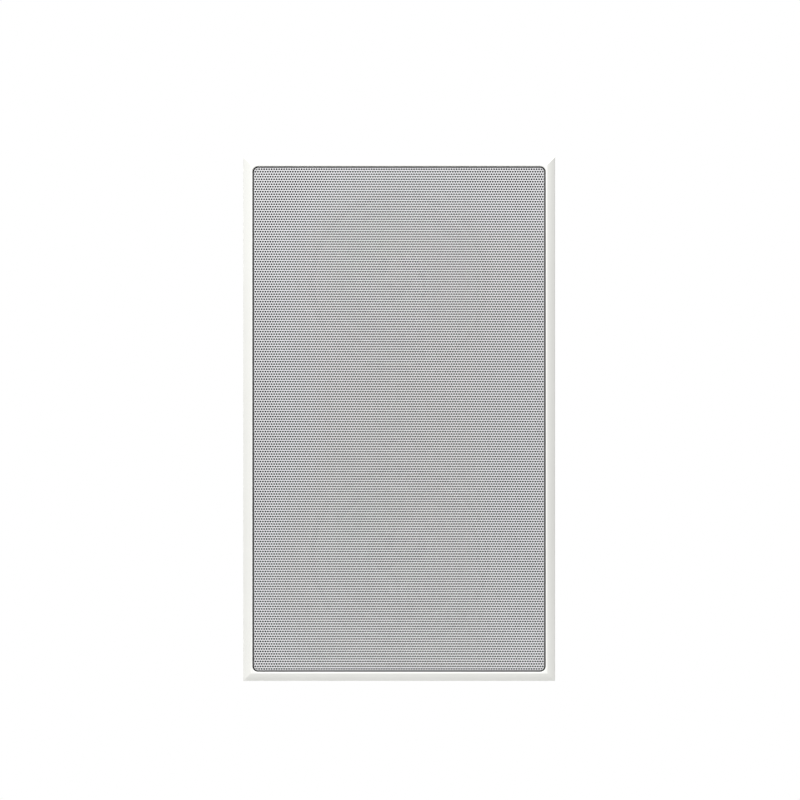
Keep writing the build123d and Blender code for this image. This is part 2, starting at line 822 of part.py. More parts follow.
def terminal_block():
    outline = RectangleRounded(block_width, block_height, block_round)
    body = slab(Pos(block_x, block_z) * outline, board_back, block_back)
    low = pivot_z + lever_tip(lever_rest_angle - lever_travel)[1] - lever_tip_radius - lever_clearance
    high = pivot_z + lever_hub_radius + lever_clearance
    for x in bay_places.values():
        bay = Pos(x, (low + high) / 2) * Rectangle(bay_width, high - low)
        body -= slab(bay, block_back - bay_depth, block_back + past)
        pin = Cylinder(pin_radius + pin_clearance, bay_width + 2 * (pin_reach + lever_clearance))
        body -= Pos(x, pivot_y, pivot_z) * Rot(0, 90, 0) * pin
        wire = disc(x, block_z - wire_hole_drop, wire_hole_radius)
        body -= slab(wire, block_back - wire_hole_depth, block_back + past)
    return body


def terminal_lever(x):
    tip_y, tip_z = lever_tip(lever_rest_angle)
    tilt = degrees(atan2(tip_z, tip_y))
    arm = Pos(tip_y / 2, tip_z / 2) * Rot(0, 0, tilt) * Rectangle(lever_length, lever_thickness)
    section = Circle(lever_hub_radius) + arm + Pos(tip_y, tip_z) * Circle(lever_tip_radius)
    half = bay_width / 2 - lever_clearance
    across = Plane(origin=(x, pivot_y, pivot_z), x_dir=(0, 1, 0), z_dir=(1, 0, 0))
    pin = Cylinder(pin_radius, bay_width + 2 * pin_reach)
    return extrude(across * section, amount=half, both=True) + Pos(x, pivot_y, pivot_z) * Rot(0, 90, 0) * pin


def clamp_dog():
    """A clamp's dog at the origin, stowed upwards."""
    back = dog_rest + dog_thickness
    arm = Pos(0, dog_reach / 2) * Rectangle(2 * dog_half_width, dog_reach)
    tips = [v for v in arm.vertices() if v.Y > dog_reach / 2]
    dog = slab(fillet(tips, dog_tip_round), dog_rest, back)
    dog += slab(Circle(dog_half_width), dog_rest, dog_rest + dog_hub_length)
    side = Plane(origin=(0, 0, 0), x_dir=(0, 1, 0), z_dir=(1, 0, 0))
    end = dog_rest + dog_hub_length
    sunk = back - past
    web = make_face(Polyline(
        (sunk, 0), (end, 0), (end, insert_radius), (sunk, dog_reach - dog_tip_round), close=True
    ))
    dog += extrude(side * web, amount=dog_web_half_width, both=True)
    groove = Rectangle(2 * dog_half_width + past, groove_width)
    for index in range(groove_count):
        z = dog_reach - dog_tip_round - groove_pitch * (index + 0.5)
        dog -= slab(Pos(0, z) * groove, dog_rest - past, dog_rest + groove_depth)
    return dog - slab(Circle(insert_radius + swing_clearance), dog_rest - past, end + past)


def clamp_insert():
    bore = clamp_screw_radius + thread_clearance
    return ring(bore, insert_radius, dog_rest + insert_inset, dog_rest + dog_hub_length - insert_inset)


def clamp_screw():
    length = clamp_screw_end - ledge_front
    screw = pan_screw(clamp_screw_radius, length, clamp_head_radius, clamp_head_height)
    return Pos(0, ledge_front, 0) * screw


def group(solid, level, places):
    return Compound(children=[Pos(x, level, z) * solid for x, z in places])


def all_parts():
    parts = {"bezel_frame": bezel_frame(), "grille": grille(), "baffle": baffle()}
    woofer_pieces = {
        "basket": basket(),
        "gasket": gasket(),
        "surround": surround(),
        "cone": cone(),
        "dust_cap": dust_cap(),
        "voice_coil": voice_coil(),
        "spider": spider(),
        "front_plate": front_plate(),
        "magnet": magnet(),
        "yoke": yoke(),
    }
    for place, height in both_woofers().items():
        for piece, solid in woofer_pieces.items():
            parts[f"{place}_woofer_{piece}"] = Pos(0, 0, height) * solid
    screw = pan_screw(screw_radius, screw_length, screw_head_radius, screw_head_height)
    small = pan_screw(small_screw_radius, small_screw_length, small_head_radius, small_head_height)
    woofer_places = [place for height in both_woofers().values() for place in woofer_screw_places(height)]
    parts["baffle_screws"] = group(screw, baffle_front, baffle_screw_places())
    parts["woofer_screws"] = group(screw, rim_front, woofer_places)
    parts["tweeter_screws"] = group(small, seat - tweeter_plate_thickness, tweeter_screw_places())
    parts["board_screws"] = group(Rot(180, 0, 0) * small, board_back, post_places())
    parts["tweeter_faceplate"] = tweeter_faceplate()
    parts["tweeter_surround"] = tweeter_surround()
    parts["tweeter_dome"] = tweeter_dome()
    parts["tweeter_voice_coil"] = tweeter_voice_coil()
    parts["tweeter_pole_plate"] = tweeter_pole_plate()
    parts["tweeter_magnet"] = tweeter_magnet()
    parts["tweeter_cup"] = tweeter_cup()
    parts["crossover_board"] = board()
    reels = [Pos(x, 0, z) * bobbin(radius, height) for x, z, radius, height in coil_sizes]
    coils = [Pos(x, 0, z) * winding(radius, height) for x, z, radius, height in coil_sizes]
    parts["crossover_bobbins"] = Compound(children=reels)
    parts["crossover_windings"] = Compound(children=coils)
    parts["crossover_capacitors"] = group(capacitor(), 0, capacitor_places)
    parts["crossover_resistors"] = group(resistor(), 0, resistor_places)
    parts["terminal_block"] = terminal_block()
    for colour, x in bay_places.items():
        parts[f"terminal_lever_{colour}"] = terminal_lever(x)
    clamp_pieces = {"dog": clamp_dog(), "insert": clamp_insert(), "screw": clamp_screw()}
    for station, x, z, turn in clamp_stations():
        for piece, solid in clamp_pieces.items():
            parts[f"clamp_{piece}_{station}"] = at_clamp(x, z, turn) * solid
    return parts


os.makedirs("parts", exist_ok=True)
for name, shape in all_parts().items():
    export_step(shape, f"parts/{name}.step")
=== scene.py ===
import bmesh
import bpy
import json
import math
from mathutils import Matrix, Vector
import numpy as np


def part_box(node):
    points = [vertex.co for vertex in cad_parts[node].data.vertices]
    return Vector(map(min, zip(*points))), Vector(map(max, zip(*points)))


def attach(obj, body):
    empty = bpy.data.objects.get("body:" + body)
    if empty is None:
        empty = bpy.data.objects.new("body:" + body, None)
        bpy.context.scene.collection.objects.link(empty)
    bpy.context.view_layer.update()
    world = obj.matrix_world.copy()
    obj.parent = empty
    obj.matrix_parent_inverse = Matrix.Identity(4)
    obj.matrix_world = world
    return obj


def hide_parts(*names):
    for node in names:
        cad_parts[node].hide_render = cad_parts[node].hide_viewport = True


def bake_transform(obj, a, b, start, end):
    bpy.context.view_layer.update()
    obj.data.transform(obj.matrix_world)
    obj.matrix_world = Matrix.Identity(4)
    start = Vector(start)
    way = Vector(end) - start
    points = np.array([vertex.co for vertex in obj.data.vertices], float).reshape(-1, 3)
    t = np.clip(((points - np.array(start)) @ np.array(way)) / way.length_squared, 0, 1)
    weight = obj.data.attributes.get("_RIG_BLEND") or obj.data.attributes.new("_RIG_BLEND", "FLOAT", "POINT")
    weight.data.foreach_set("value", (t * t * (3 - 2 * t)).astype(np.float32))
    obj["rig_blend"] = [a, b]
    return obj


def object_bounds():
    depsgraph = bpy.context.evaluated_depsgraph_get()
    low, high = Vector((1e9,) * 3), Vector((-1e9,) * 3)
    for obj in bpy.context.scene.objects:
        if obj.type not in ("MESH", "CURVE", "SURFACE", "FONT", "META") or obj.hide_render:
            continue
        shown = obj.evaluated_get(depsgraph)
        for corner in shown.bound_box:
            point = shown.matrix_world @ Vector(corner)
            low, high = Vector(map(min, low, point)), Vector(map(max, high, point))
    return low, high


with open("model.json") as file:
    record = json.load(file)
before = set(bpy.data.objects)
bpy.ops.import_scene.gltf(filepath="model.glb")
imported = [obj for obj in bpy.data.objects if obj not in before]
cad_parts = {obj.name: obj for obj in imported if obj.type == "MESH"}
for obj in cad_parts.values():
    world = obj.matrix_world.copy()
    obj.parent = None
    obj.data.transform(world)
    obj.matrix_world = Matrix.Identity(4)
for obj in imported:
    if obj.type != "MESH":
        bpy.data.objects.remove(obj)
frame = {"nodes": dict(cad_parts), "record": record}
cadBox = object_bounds()
nodes = frame["nodes"]
chassis = "chassis"
weld = 1e-6  # points closer than this are one
print("frame loaded:", len(nodes), "nodes")


def addNode(tree, kind, values=None, **settings):
    node = tree.nodes.new(kind)
    for setting, value in settings.items():
        setattr(node, setting, value)
    for socket, value in (values or {}).items():
        node.inputs[socket].default_value = value
    return node


def mathNode(tree, operation, first, second=None):
    node = addNode(tree, "ShaderNodeMath", operation=operation)
    for index, source in enumerate((first, second)):
        if source is None:
            continue
        if isinstance(source, (int, float)):
            node.inputs[index].default_value = source
        else:
            tree.links.new(source, node.inputs[index])
    return node.outputs[0]


# Shared effects: each takes a place on the surface and gives a Height for bump and a Tone for colour
def newEffect(name):
    tree = bpy.data.node_groups.new(name, "ShaderNodeTree")
    tree.interface.new_socket("Vector", in_out="INPUT", socket_type="NodeSocketVector")
    tree.interface.new_socket("Scale", in_out="INPUT", socket_type="NodeSocketFloat")
    tree.interface.new_socket("Mottle", in_out="INPUT", socket_type="NodeSocketFloat")
    tree.interface.new_socket("Height", in_out="OUTPUT", socket_type="NodeSocketFloat")
    tree.interface.new_socket("Tone", in_out="OUTPUT", socket_type="NodeSocketFloat")
    return tree, addNode(tree, "NodeGroupInput").outputs, addNode(tree, "NodeGroupOutput").inputs


def addMottle(tree, given, result):
    cloud = addNode(tree, "ShaderNodeTexNoise", {"Detail": 3.0, "Roughness": 0.6})
    tree.links.new(given["Vector"], cloud.inputs["Vector"])
    tree.links.new(given["Mottle"], cloud.inputs["Scale"])
    tree.links.new(cloud.outputs[0], result["Tone"])


def mouldGrain():  # fine pebble of a moulding or a paint film
    tree, given, result = newEffect("mouldGrain")
    pebble = addNode(tree, "ShaderNodeTexNoise", {"Detail": 2.0, "Roughness": 0.5})
    tree.links.new(given["Vector"], pebble.inputs["Vector"])
    tree.links.new(given["Scale"], pebble.inputs["Scale"])
    tree.links.new(pebble.outputs[0], result["Height"])
    addMottle(tree, given, result)
    return tree


def turnedMarks():  # rings left by a lathe round the Y axis
    tree, given, result = newEffect("turnedMarks")
    parts = addNode(tree, "ShaderNodeSeparateXYZ")
    flat = addNode(tree, "ShaderNodeCombineXYZ")
    reach = addNode(tree, "ShaderNodeVectorMath", operation="LENGTH")
    rings = addNode(tree, "ShaderNodeTexNoise", {"Detail": 2.0}, noise_dimensions="1D")
    tree.links.new(given["Vector"], parts.inputs[0])
    tree.links.new(parts.outputs["X"], flat.inputs["X"])
    tree.links.new(parts.outputs["Z"], flat.inputs["Z"])
    tree.links.new(flat.outputs[0], reach.inputs[0])
    tree.links.new(reach.outputs["Value"], rings.inputs["W"])
    tree.links.new(given["Scale"], rings.inputs["Scale"])
    tree.links.new(rings.outputs[0], result["Height"])
    addMottle(tree, given, result)
    return tree


def clothWeave():  # crossed threads in the plane of a driver
    tree, given, result = newEffect("clothWeave")
    threads = []
    for direction in ("X", "Z"):
        wave = addNode(tree, "ShaderNodeTexWave", {"Distortion": 0.6, "Detail": 1.0},
                       bands_direction=direction)
        tree.links.new(given["Vector"], wave.inputs["Vector"])
        tree.links.new(given["Scale"], wave.inputs["Scale"])
        threads.append(wave.outputs["Fac"])
    tree.links.new(mathNode(tree, "MAXIMUM", *threads), result["Height"])
    addMottle(tree, given, result)
    return tree


def woundWire():  # turns of wire stacked along Y
    tree, given, result = newEffect("woundWire")
    wave = addNode(tree, "ShaderNodeTexWave", {"Distortion": 0.2}, bands_direction="Y")
    tree.links.new(given["Vector"], wave.inputs["Vector"])
    tree.links.new(given["Scale"], wave.inputs["Scale"])
    tree.links.new(wave.outputs["Fac"], result["Height"])
    addMottle(tree, given, result)
    return tree


def insideBox():  # 1 within a box on the Y axis, 0 outside it
    tree = bpy.data.node_groups.new("insideBox", "ShaderNodeTree")
    tree.interface.new_socket("Vector", in_out="INPUT", socket_type="NodeSocketVector")
    for label in ("Half X", "Half Z", "Low", "High"):
        tree.interface.new_socket(label, in_out="INPUT", socket_type="NodeSocketFloat")
    tree.interface.new_socket("Within", in_out="OUTPUT", socket_type="NodeSocketFloat")
    given = addNode(tree, "NodeGroupInput").outputs
    parts = addNode(tree, "ShaderNodeSeparateXYZ")
    tree.links.new(given["Vector"], parts.inputs[0])
    within = [
        mathNode(tree, "LESS_THAN", mathNode(tree, "ABSOLUTE", parts.outputs["X"]), given["Half X"]),
        mathNode(tree, "LESS_THAN", mathNode(tree, "ABSOLUTE", parts.outputs["Z"]), given["Half Z"]),
        mathNode(tree, "GREATER_THAN", parts.outputs["Y"], given["Low"]),
        mathNode(tree, "LESS_THAN", parts.outputs["Y"], given["High"]),
    ]
    across = mathNode(tree, "MULTIPLY", within[0], within[1])
    along = mathNode(tree, "MULTIPLY", within[2], within[3])
    result = addNode(tree, "NodeGroupOutput").inputs
    tree.links.new(mathNode(tree, "MULTIPLY", across, along), result["Within"])
    return tree


boxMask = insideBox()
tracks = (  # middle x and z, half sizes, on the circuit board
    (0.0183, 0.014, 0.0067, 0.0012), (-0.0176, 0.0185, 0.0012, 0.0057), (-0.0205, 0.023, 0.003, 0.0012),
    (0.0416, -0.009, 0.0012, 0.009), (0.006, -0.018, 0.0065, 0.0012), (-0.006, -0.0252, 0.018, 0.0012),
    (-0.0545, 0.0, 0.0012, 0.015), (-0.0515, 0.0162, 0.0042, 0.0012), (-0.0515, -0.0162, 0.0042, 0.0012),
    (0.0535, 0.0, 0.0026, 0.015), (0.016, 0.0252, 0.03, 0.0012), (0.0124, -0.021, 0.0012, 0.003),
)


def boardTracks():  # copper tracks under the green lacquer
    tree, given, result = newEffect("boardTracks")
    drawn = None
    for x, z, halfX, halfZ in tracks:
        offset = addNode(tree, "ShaderNodeVectorMath", {1: (x, 0, z)}, operation="SUBTRACT")
        mask = addNode(tree, "ShaderNodeGroup", node_tree=boxMask)
        for label, value in {"Half X": halfX, "Half Z": halfZ, "Low": -1.0, "High": 1.0}.items():
            mask.inputs[label].default_value = value
        tree.links.new(given["Vector"], offset.inputs[0])
        tree.links.new(offset.outputs[0], mask.inputs["Vector"])
        drawn = mathNode(tree, "MAXIMUM", drawn, mask.outputs["Within"]) if drawn else mask.outputs["Within"]
    tree.links.new(drawn, result["Height"])
    tree.links.new(drawn, result["Tone"])
    return tree


effects = {"mould": mouldGrain(), "turned": turnedMarks(), "weave": clothWeave(), "wound": woundWire(),
           "tracks": boardTracks()}
coneLow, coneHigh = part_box("upper_woofer_cone")
wooferHeight = (coneLow.z + coneHigh.z) / 2
# painted shade: black inside the frame, standing in for the shade behind the grille
paintedShadeBlack = (0.012, 0.012, 0.011)

# colour, shade: the two tones that the mottle moves between; rough: its two roughnesses
# boxes of painted shade and painted highlight: half x, half z, low y and high y of a field, and its colour
finishes = {
    "whiteMoulding": {"colour": (0.85, 0.85, 0.815), "shade": (0.83, 0.83, 0.795), "rough": (0.38, 0.46),
                      "effect": "mould", "scale": 1400.0, "mottle": 30.0, "depth": 0.00002,
                      "shadeAndHighlightBoxes": ((0.1188, 0.2038, -0.0070, -0.0045, (0.93, 0.93, 0.905)),  # painted highlight: lighter crest of the rim's lip
                                (0.1178, 0.2028, -0.0045, -0.0001, paintedShadeBlack),  # painted shade behind the grille
                                (0.1090, 0.1940, -0.0045, 0.0105, paintedShadeBlack))},
    "whiteEnamel": {"colour": (0.785, 0.785, 0.8), "shade": (0.765, 0.765, 0.78), "rough": (0.4, 0.5),
                    "effect": "mould", "scale": 1800.0, "mottle": 45.0, "depth": 0.00001},
    "blackMoulding": {"colour": (0.018, 0.018, 0.019), "shade": (0.028, 0.028, 0.029), "rough": (0.5, 0.62),
                      "effect": "mould", "scale": 1100.0, "mottle": 40.0, "depth": 0.00006},
    "blackPaint": {"colour": (0.02, 0.02, 0.022), "shade": (0.03, 0.03, 0.032), "rough": (0.34, 0.46),
                   "effect": "mould", "scale": 700.0, "mottle": 60.0, "depth": 0.00003},
    "foam": {"colour": (0.012, 0.012, 0.012), "shade": (0.03, 0.03, 0.03), "rough": (0.85, 0.95),
             "effect": "mould", "scale": 2200.0, "mottle": 900.0, "depth": 0.0002},
    "rubber": {"colour": (0.014, 0.014, 0.015), "shade": (0.024, 0.024, 0.025), "rough": (0.42, 0.56),
               "effect": "mould", "scale": 500.0, "mottle": 80.0, "depth": 0.00003},
    "conePulp": {"colour": (0.022, 0.022, 0.024), "shade": (0.05, 0.05, 0.053), "rough": (0.66, 0.8),
                 "effect": "mould", "scale": 420.0, "mottle": 260.0, "depth": 0.00018},
    "capSkin": {"colour": (0.018, 0.018, 0.02), "shade": (0.026, 0.026, 0.028), "rough": (0.24, 0.32),
                "effect": "mould", "scale": 300.0, "mottle": 50.0, "depth": 0.00002},
    "copperWire": {"colour": (0.62, 0.24, 0.1), "shade": (0.42, 0.14, 0.06), "rough": (0.26, 0.38),
                   "metal": 1.0, "effect": "wound", "scale": 900.0, "mottle": 120.0, "depth": 0.0001},
    "spiderCloth": {"colour": (0.5, 0.33, 0.1), "shade": (0.36, 0.22, 0.06), "rough": (0.7, 0.85),
                    "effect": "weave", "scale": 520.0, "mottle": 90.0, "depth": 0.0002},
    "zincTurned": {"colour": (0.5, 0.505, 0.51), "shade": (0.44, 0.445, 0.445), "rough": (0.38, 0.48),
                   "metal": 1.0, "effect": "turned", "scale": 1500.0, "mottle": 40.0, "depth": 0.00003},
    "zincWoofer": {"colour": (0.46, 0.465, 0.465), "shade": (0.42, 0.424, 0.42), "rough": (0.42, 0.5),
                   "metal": 1.0, "effect": "turned", "scale": 1500.0, "mottle": 40.0, "depth": 0.00003,
                   "paired": True},
    "zincScrew": {"colour": (0.62, 0.63, 0.64), "shade": (0.5, 0.5, 0.48), "rough": (0.26, 0.4),
                  "metal": 1.0, "effect": "mould", "scale": 900.0, "mottle": 300.0, "depth": 0.00001},
    "ferrite": {"colour": (0.045, 0.045, 0.048), "shade": (0.075, 0.075, 0.078), "rough": (0.45, 0.62),
                "effect": "turned", "scale": 900.0, "mottle": 70.0, "depth": 0.00004, "paired": True},
    "blackScrew": {"colour": (0.03, 0.03, 0.033), "shade": (0.05, 0.05, 0.055), "rough": (0.3, 0.42),
                   "metal": 0.6, "effect": "mould", "scale": 900.0, "mottle": 250.0, "depth": 0.00001},
    "silkDome": {"colour": (0.02, 0.02, 0.023), "shade": (0.034, 0.034, 0.038), "rough": (0.42, 0.55),
                 "effect": "weave", "scale": 900.0, "mottle": 150.0, "depth": 0.00006},
    "nickel": {"colour": (0.66, 0.65, 0.61), "shade": (0.58, 0.57, 0.53), "rough": (0.16, 0.26),
               "metal": 1.0, "effect": "turned", "scale": 700.0, "mottle": 60.0, "depth": 0.00001},
    "filmWrap": {"colour": (0.56, 0.4, 0.06), "shade": (0.5, 0.34, 0.045), "rough": (0.22, 0.34),
                 "effect": "mould", "scale": 200.0, "mottle": 60.0, "depth": 0.00003},
    "cement": {"colour": (0.78, 0.76, 0.7), "shade": (0.66, 0.64, 0.58), "rough": (0.78, 0.9),
               "effect": "mould", "scale": 900.0, "mottle": 160.0, "depth": 0.0001},
    "redLever": {"colour": (0.5, 0.012, 0.014), "shade": (0.42, 0.01, 0.012), "rough": (0.26, 0.36),
                 "effect": "mould", "scale": 900.0, "mottle": 90.0, "depth": 0.00001},
    "blackLever": {"colour": (0.016, 0.016, 0.017), "shade": (0.026, 0.026, 0.028), "rough": (0.26, 0.36),
                   "effect": "mould", "scale": 900.0, "mottle": 90.0, "depth": 0.00001},
    "nylonDog": {"colour": (0.72, 0.72, 0.69), "shade": (0.66, 0.66, 0.62), "rough": (0.4, 0.52),
                 "effect": "mould", "scale": 800.0, "mottle": 70.0, "depth": 0.00003},
    "brassInsert": {"colour": (0.68, 0.46, 0.16), "shade": (0.56, 0.36, 0.11), "rough": (0.24, 0.36),
                    "metal": 1.0, "effect": "mould", "scale": 700.0, "mottle": 120.0, "depth": 0.00001},
    "greenBoard": {"colour": (0.01, 0.085, 0.03), "shade": (0.03, 0.16, 0.055), "rough": (0.3, 0.42),
                   "effect": "tracks", "scale": 70.0, "mottle": 110.0, "depth": 0.00003},
    "tinnedWire": {"colour": (0.7, 0.7, 0.7), "shade": (0.55, 0.55, 0.55), "rough": (0.2, 0.34),
                   "metal": 1.0, "effect": "mould", "scale": 900.0, "mottle": 500.0, "depth": 0.00001},
}

mottleEnds = {"tone": (0.35, 0.65), "rough": (0.3, 0.7)}  # where the mottle reaches each of the two values


def makeFinish(name, recipe):
    material = bpy.data.materials.new(name)
    material.use_nodes = True
    tree = material.node_tree
    shader = tree.nodes["Principled BSDF"]
    shader.inputs["Metallic"].default_value = recipe.get("metal", 0.0)
    place = addNode(tree, "ShaderNodeTexCoord").outputs["Object"]
    if recipe.get("paired"):  # both woofers turn about their own middles
        parts = addNode(tree, "ShaderNodeSeparateXYZ")
        joined = addNode(tree, "ShaderNodeCombineXYZ")
        tree.links.new(place, parts.inputs[0])
        tree.links.new(parts.outputs["X"], joined.inputs["X"])
        tree.links.new(parts.outputs["Y"], joined.inputs["Y"])
        height = mathNode(tree, "SUBTRACT", mathNode(tree, "ABSOLUTE", parts.outputs["Z"]), wooferHeight)
        tree.links.new(height, joined.inputs["Z"])
        place = joined.outputs[0]
    effect = addNode(tree, "ShaderNodeGroup", node_tree=effects[recipe["effect"]])
    effect.inputs["Scale"].default_value = recipe["scale"]
    effect.inputs["Mottle"].default_value = recipe["mottle"]
    tree.links.new(place, effect.inputs["Vector"])
    tones = addNode(tree, "ShaderNodeValToRGB")
    for element, position, tone in zip(tones.color_ramp.elements, mottleEnds["tone"], ("colour", "shade")):
        element.position = position
        element.color = (*recipe[tone], 1.0)
    tree.links.new(effect.outputs["Tone"], tones.inputs["Fac"])
    colour = tones.outputs["Color"]
    # lays the painted shade and painted highlight fields over the colour
    for halfX, halfZ, low, high, paintedTone in recipe.get("shadeAndHighlightBoxes", ()):
        mask = addNode(tree, "ShaderNodeGroup", node_tree=boxMask)
        tree.links.new(place, mask.inputs["Vector"])
        for label, value in {"Half X": halfX, "Half Z": halfZ, "Low": low, "High": high}.items():
            mask.inputs[label].default_value = value
        paint = addNode(tree, "ShaderNodeMix", {7: (*paintedTone, 1.0)}, data_type="RGBA")
        tree.links.new(mask.outputs["Within"], paint.inputs[0])
        tree.links.new(colour, paint.inputs[6])
        colour = paint.outputs[2]
    tree.links.new(colour, shader.inputs["Base Color"])
    ends = (*mottleEnds["rough"], *recipe["rough"])
    rough = addNode(tree, "ShaderNodeMapRange", dict(zip(("From Min", "From Max", "To Min", "To Max"), ends)))
    tree.links.new(effect.outputs["Tone"], rough.inputs["Value"])
    tree.links.new(rough.outputs["Result"], shader.inputs["Roughness"])
    bump = addNode(tree, "ShaderNodeBump", {"Distance": recipe["depth"]})
    tree.links.new(effect.outputs["Height"], bump.inputs["Height"])
    tree.links.new(bump.outputs["Normal"], shader.inputs["Normal"])
    return material


looks = {name: makeFinish(name, recipe) for name, recipe in finishes.items()}
slotLooks = {
    "white_moulding": "whiteMoulding", "white_enamel": "whiteEnamel", "black_moulding": "blackMoulding",
    "black_basket": "blackPaint", "black_foam": "foam", "black_rubber": "rubber", "cone_paper": "conePulp",
    "cap_skin": "capSkin", "copper_wire": "copperWire", "spider_cloth": "spiderCloth",
    "zinc_steel": "zincScrew", "ferrite": "ferrite", "black_screw": "blackScrew", "silk_dome": "silkDome",
    "nickel": "nickel", "green_board": "greenBoard", "film_capacitor": "filmWrap", "ceramic": "cement",
    "red_lever": "redLever", "black_lever": "blackLever", "grey_dog": "nylonDog",
    "brass_insert": "brassInsert",
}
turnedNodes = {  # ends of the names of pieces that came off a lathe
    "front_plate": "zincWoofer", "yoke": "zincWoofer", "tweeter_cup": "zincTurned",
    "pole_plate": "zincTurned",
}
for row in frame["record"]["subparts"]:
    look = slotLooks[row["material_slot"]]
    for ending, turnedLook in turnedNodes.items():
        if row["node"].endswith(ending):
            look = turnedLook
    nodes[row["node"]].data.materials.clear()
    nodes[row["node"]].data.materials.append(looks[look])
print("finishes made:", len(looks))


def makePiece(name, points, faces, look):
    mesh = bpy.data.meshes.new(name)
    mesh.from_pydata(points, [], faces)
    piece = bpy.data.objects.new(name, mesh)
    bpy.context.scene.collection.objects.link(piece)
    finishMesh(mesh, look)
    return piece


def finishMesh(mesh, look, sharp=35.0):  # merges seams, turns faces outwards, shades rounds smooth
    work = bmesh.new()
    work.from_mesh(mesh)
    bmesh.ops.remove_doubles(work, verts=work.verts, dist=weld)
    bmesh.ops.recalc_face_normals(work, faces=work.faces)
    for face in work.faces:
        face.smooth = True
    work.to_mesh(mesh)
    work.free()
    mesh.set_sharp_from_angle(angle=math.radians(sharp))
    mesh.materials.clear()
    mesh.materials.append(looks[look])


def ride(piece, body, slot, *replaced):
    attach(piece, body)
    if replaced:
        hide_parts(*replaced)
    return piece


def newTree(name, inputs):
    tree = bpy.data.node_groups.new(name, "GeometryNodeTree")
    for label, kind in inputs.items():
        tree.interface.new_socket(label, in_out="INPUT", socket_type="NodeSocket" + kind)
    tree.interface.new_socket("Geometry", in_out="OUTPUT", socket_type="NodeSocketGeometry")
    return tree, addNode(tree, "NodeGroupInput").outputs


def endTree(tree, geometry, finish):  # every tree ends in plain geometry with its finish
    whole = addNode(tree, "GeometryNodeRealizeInstances")
    coat = addNode(tree, "GeometryNodeSetMaterial")
    tree.links.new(geometry, whole.inputs["Geometry"])
    tree.links.new(whole.outputs[0], coat.inputs["Geometry"])
    tree.links.new(finish, coat.inputs["Material"])
    tree.links.new(coat.outputs[0], addNode(tree, "NodeGroupOutput").inputs[0])
    return tree


def growPiece(name, tree, values):
    piece = bpy.data.objects.new(name, bpy.data.meshes.new(name))
    bpy.context.scene.collection.objects.link(piece)
    modifier = piece.modifiers.new("grow", "NODES")
    modifier.node_group = tree
    for item in tree.interface.items_tree:
        if item.in_out == "INPUT":
            modifier[item.identifier] = values[item.name]
    grown = bpy.data.meshes.new_from_object(piece.evaluated_get(bpy.context.evaluated_depsgraph_get()))
    piece.modifiers.clear()
    piece.data = grown
    return piece


# Grille: a folded steel sheet, perforated right up to its edges
grille = {
    "slack": 0.0002,  # what the picture's shadow gap is wider by than the solid's
    "bend": 0.0001,
    "holeRadius": 0.00084,  # to the corners, for the area of a 1.53 mm round hole
    "sheet": 0.0009,
    "fold": 0.0003,
    "corner": 0.0032,
    "still": 0.3,  # share of the corner's radius within which no hole is drawn in
    "columns": 116,
    "rows": 201,
    "bands": 5,  # keeps each mesh light
    "cornerSteps": 8,
    "bendSteps": 4,
}
grilleLow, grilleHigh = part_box("grille")
grille["halfWidth"] = grilleHigh.x - grille["slack"]
grille["halfHeight"] = grilleHigh.z - grille["slack"]
grille["pitch"] = 2 * (grille["halfWidth"] - grille["bend"]) / grille["columns"]
grille["rowPitch"] = 2 * (grille["halfHeight"] - grille["bend"]) / grille["rows"]


def ringCell():  # one pitch of flat sheet round a six-sided hole
    halfPitch = grille["pitch"] / 2
    halfRow = grille["rowPitch"] / 2
    outline = [(halfPitch, halfRow), (0, halfRow), (-halfPitch, halfRow),
               (-halfPitch, -halfRow), (0, -halfRow), (halfPitch, -halfRow)]
    turns = [math.radians(30 + 60 * index) for index in range(6)]
    hole = [(grille["holeRadius"] * math.cos(turn), grille["holeRadius"] * math.sin(turn)) for turn in turns]
    points = [(x, y, 0) for x, y in outline + hole]
    faces = [(i, (i + 1) % 6, 6 + (i + 1) % 6, 6 + i) for i in range(6)]
    return points, faces


def halfCell():  # what the side folds leave of a cell, where they cut its hole in two
    points = ringCell()[0]
    kept = [points[index] for index in (1, 2, 3, 4, 7, 8, 9, 10)]
    return kept, [(i, i + 1, i + 5, i + 4) for i in range(3)]


def templateObject(name, shape):
    mesh = bpy.data.meshes.new(name)
    mesh.from_pydata(shape[0], [], shape[1])
    template = bpy.data.objects.new(name, mesh)
    bpy.context.scene.collection.objects.link(template)
    return template


